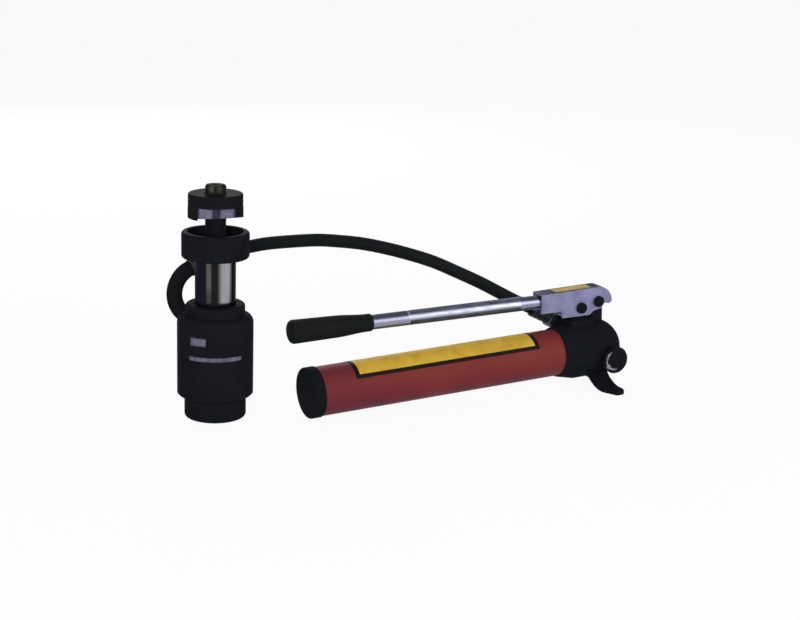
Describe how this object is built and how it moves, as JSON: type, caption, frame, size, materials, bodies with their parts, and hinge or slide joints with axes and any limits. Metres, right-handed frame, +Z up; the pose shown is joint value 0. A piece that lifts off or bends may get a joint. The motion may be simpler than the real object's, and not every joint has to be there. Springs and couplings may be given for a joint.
{
  "type": "hydraulic hole punch",
  "caption": "Draw-type hydraulic hole punch: an upright ram head with cutter and die on a draw stud, joined by a hose to a lever hand pump with a tubular reservoir.",
  "frame": {"origin": "centre of the ram head's round foot, on the surface that it stands on", "axes": "+X along the pump, from its end cap to its head; +Y to the pump's far side; +Z up along the ram"},
  "size_m": [0.5806, 0.1946, 0.2793],
  "materials": {
    "black_body": "satin black paint",
    "black_oxide": "black oxide on hardened steel",
    "black_casting": "black paint over a fine casting skin",
    "bright_sleeve": "polished",
    "red_paint": "semi-gloss red paint",
    "zinc_sheet": "zinc plated sheet",
    "handle_steel": "satin plated tube",
    "fitting_steel": "plated steel, worn",
    "inner_steel": "machined steel",
    "rubber": "matte rubber",
    "seal": "moulded rubber",
    "bronze": "sintered bronze"
  },
  "bodies": {
    "frame": {"head_base_cap": "black_body", "head_barrel": "black_body", "gland_collar": "black_body", "support_sleeve": "bright_sleeve", "die": "black_oxide", "rod_seal": "seal", "rod_wiper": "seal", "gland_oring": "seal", "base_oring": "seal", "return_spring": "inner_steel", "head_elbow": "black_body", "head_stem": "black_body", "head_ferrule": "fitting_steel", "hose": "rubber", "pump_ferrule": "fitting_steel", "pump_swivel_nut": "fitting_steel", "pump_outlet": "fitting_steel", "reservoir_tube": "red_paint", "reservoir_cap": "black_casting", "filler_plug": "black_casting", "tie_rod": "inner_steel", "suction_strainer": "bronze", "tube_orings": "seal", "pump_head": "black_casting", "stand_foot": "black_casting", "foot_screws": "fitting_steel", "release_gland": "fitting_steel", "spindle_seal": "seal", "gland_nut": "fitting_steel", "plunger_seal": "seal", "suction_ball": "inner_steel", "delivery_ball": "inner_steel", "delivery_spring": "inner_steel", "valve_plug": "fitting_steel", "relief_screw": "fitting_steel", "fulcrum_pin": "black_oxide", "fulcrum_clip": "fitting_steel"},
    "ram": {"ram_piston": "inner_steel", "piston_seal": "seal", "piston_wear_ring": "bronze", "draw_stud": "black_oxide"},
    "punch_cutter": {"cutter": "black_oxide"},
    "lever": {"lever_channel": "zinc_sheet", "plunger_pin": "black_oxide", "plunger_clip": "fitting_steel", "handle_rod": "handle_steel", "handle_tube": "handle_steel", "grip": "rubber"},
    "pump_plunger": {"plunger": "inner_steel"},
    "release_valve": {"release_knob": "black_casting", "release_spindle": "inner_steel"}
  },
  "joints": [
    {"name": "ram_stroke", "type": "slide", "parent": "frame", "child": "ram", "axis": [0, 0, -1], "range_m": [0, 0.025], "stiffness_N_per_m": 5000, "springref_m": -0.03, "deforming": ["return_spring"]},
    {"name": "cutter_turn", "type": "hinge", "parent": "ram", "child": "punch_cutter", "pos_m": [0, 0, 0.25], "axis": [0, 0, 1], "continuous": true},
    {"name": "lever_lift", "type": "hinge", "parent": "frame", "child": "lever", "pos_m": [0.49788, -0.052, 0.11123], "axis": [0, 1, 0], "range_deg": [0, 40]},
    {"name": "plunger_stroke", "type": "slide", "parent": "frame", "child": "pump_plunger", "axis": [-0.0436, 0, 0.999], "range_m": [0, 0.0179]},
    {"name": "release_turn", "type": "hinge", "parent": "frame", "child": "release_valve", "pos_m": [0.50696, -0.097, 0.04095], "axis": [0, -1, 0], "range_deg": [0, 270]}
  ],
  "couplings": [
    {"joint": "plunger_stroke", "follows": "lever_lift", "m_per_rad": 0.02559}
  ]
}
